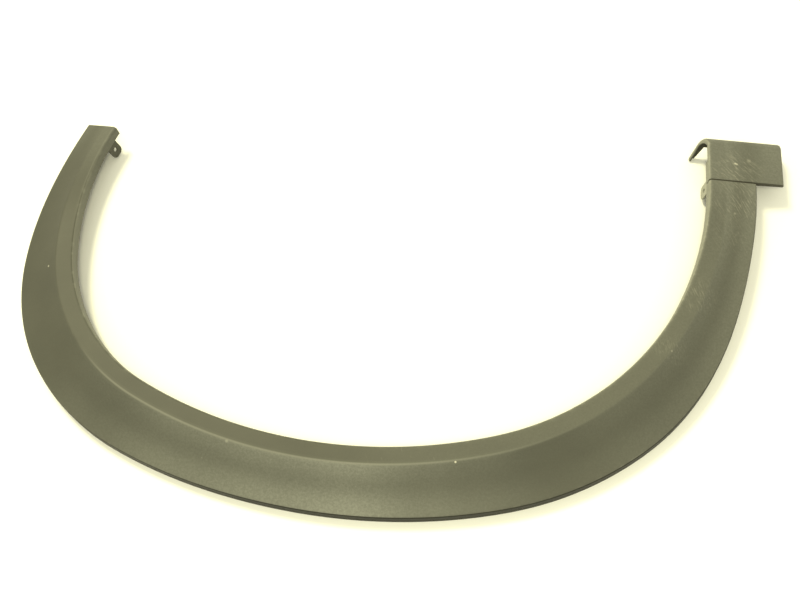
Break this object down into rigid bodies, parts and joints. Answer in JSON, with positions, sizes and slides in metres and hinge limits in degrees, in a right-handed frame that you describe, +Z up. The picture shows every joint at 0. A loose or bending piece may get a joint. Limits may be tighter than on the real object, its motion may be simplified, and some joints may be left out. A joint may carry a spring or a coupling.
{
  "type": "wheel arch trim",
  "caption": "Moulded arch-shaped band that edges a car's wheel opening, with a creased face, an inner lip, screw ears and a wide foot at one end.",
  "frame": {"origin": "middle of the plan box, on the plane of the outer wall's rim that the trim lies on", "axes": "+X from the square-cut tail leg to the foot, +Y out of the wheel opening, +Z up out of the visible face"},
  "size_m": [0.9182, 0.5106, 0.039],
  "materials": {
    "grained_pp": "fine moulded grain, scuffed at the foot and the foot leg"
  },
  "bodies": {
    "root": {"trim": "grained_pp"}
  },
  "joints": []
}
